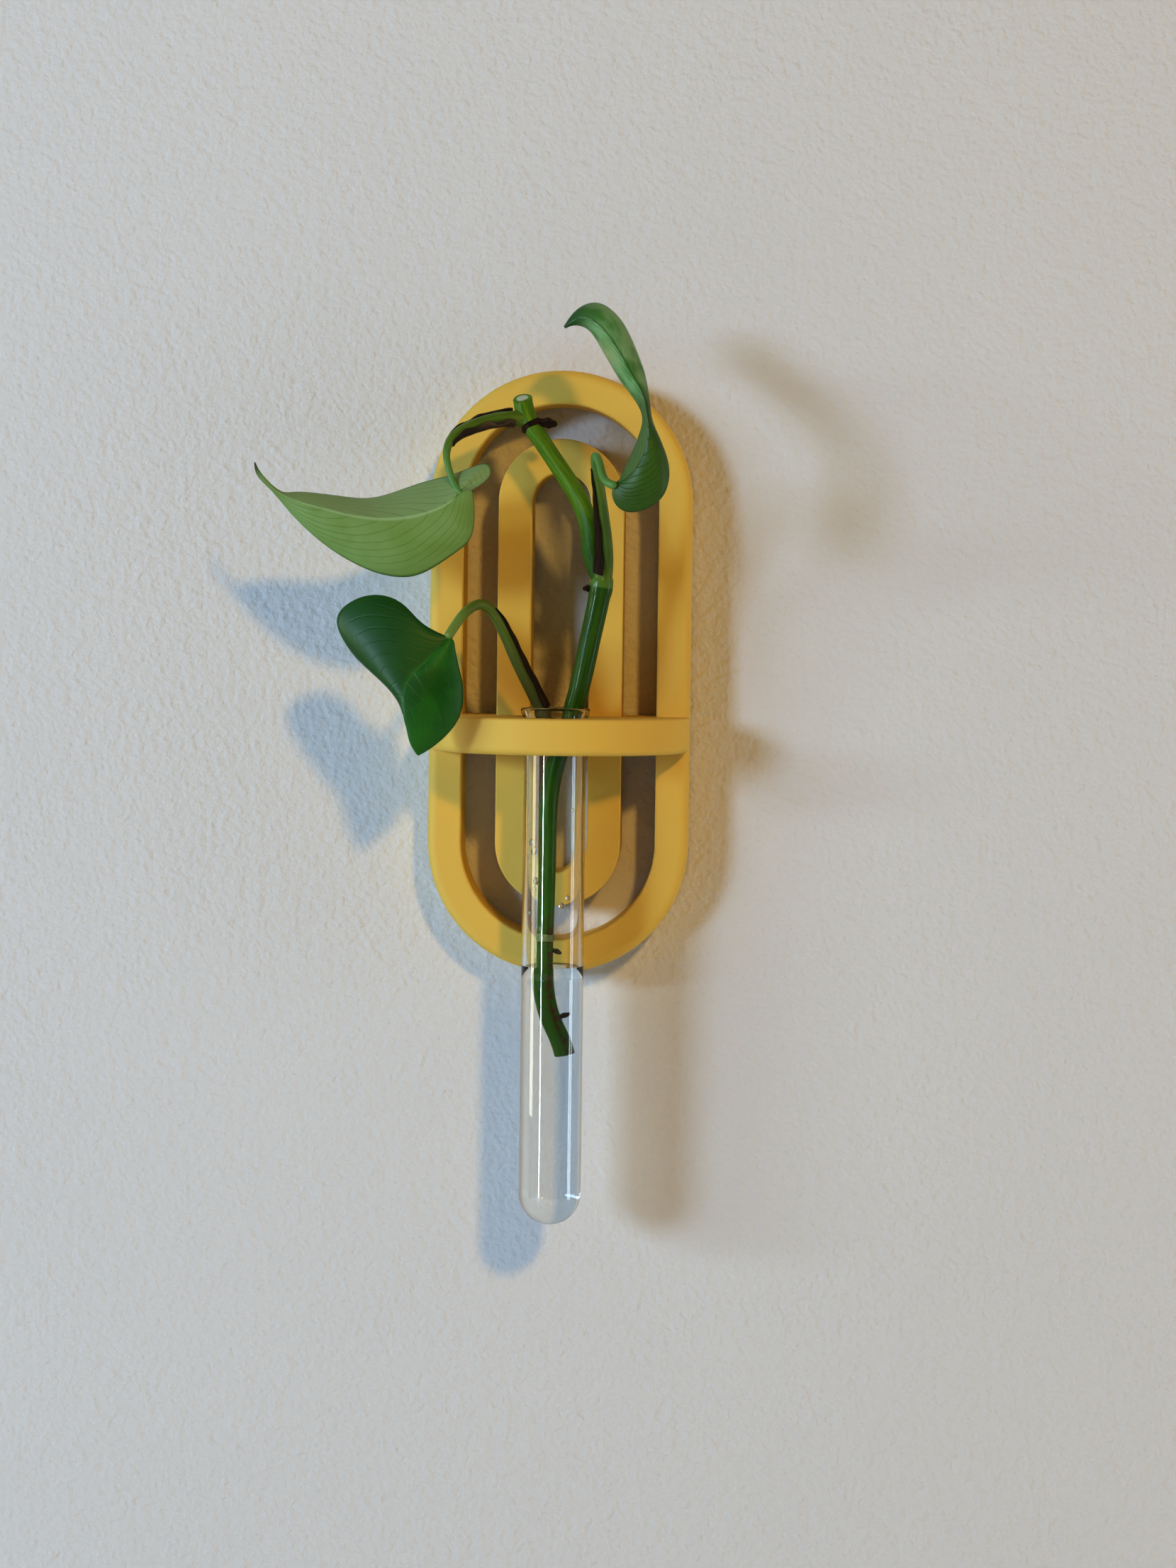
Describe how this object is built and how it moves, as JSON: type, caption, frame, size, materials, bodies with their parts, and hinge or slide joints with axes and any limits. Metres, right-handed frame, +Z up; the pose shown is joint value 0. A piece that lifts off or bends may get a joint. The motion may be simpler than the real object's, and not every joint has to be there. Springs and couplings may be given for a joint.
{
  "type": "wall mounted glass flower tube",
  "caption": "Test tube vase with a trailing cutting, hung by its rim in a half round shelf that is clamped across stadium shaped wall rings.",
  "frame": {"origin": "on the wall, on the centre line, level with the middle of the shelf's thickness, at the middle of the foam strip behind the bar", "axes": "+Y into the wall, +Z up along the tube and the rings, +X to the right seen from the front"},
  "size_m": [0.1232, 0.0812, 0.2647],
  "materials": {
    "gold_plastic": "satin, with faint print layers",
    "screw_steel": "plain zinc",
    "foam": "soft closed cell foam",
    "clear_glass": "polished",
    "water": "clear liquid",
    "stem_green": "glossy plant skin",
    "petiole_green": "glossy plant skin",
    "leaf_green": "waxy leaf",
    "leaf_underside": "satin leaf underside",
    "dry_sheath": "dry papery brown",
    "root_brown": "woody"
  },
  "bodies": {
    "wall_mount": {"outer_ring": "gold_plastic", "inner_ring": "gold_plastic", "shelf": "gold_plastic", "tie_bar": "gold_plastic", "screw_left": "screw_steel", "screw_middle": "screw_steel", "screw_right": "screw_steel", "strip_outer_upper_left": "foam", "strip_outer_upper_right": "foam", "strip_outer_lower_left": "foam", "strip_outer_lower_right": "foam", "strip_inner_left": "foam", "strip_inner_right": "foam", "strip_bar": "foam"},
    "tube": {"glass_tube": "clear_glass", "water": "water"},
    "cutting": {"main_stem": "stem_green", "side_stem": "petiole_green", "low_petiole": "petiole_green", "low_sheath": "dry_sheath", "low_leaf": "leaf_green", "top_petiole": "petiole_green", "top_sheath": "dry_sheath", "top_leaf": "leaf_green", "left_petiole": "petiole_green", "left_sheath": "dry_sheath", "left_leaf": "leaf_underside", "dried_stub": "dry_sheath", "scar_ring": "dry_sheath", "root_ring": "root_brown", "root_nub": "root_brown", "lower_root_nub": "root_brown", "node_nub": "root_brown"}
  },
  "joints": [
    {"name": "tube_lift", "type": "slide", "parent": "wall_mount", "child": "tube", "axis": [0, 0, 1], "range_m": [0, 0.155]},
    {"name": "cutting_lift", "type": "slide", "parent": "tube", "child": "cutting", "axis": [0, 0, 1], "range_m": [0, 0.105], "deforming": ["water"]}
  ]
}
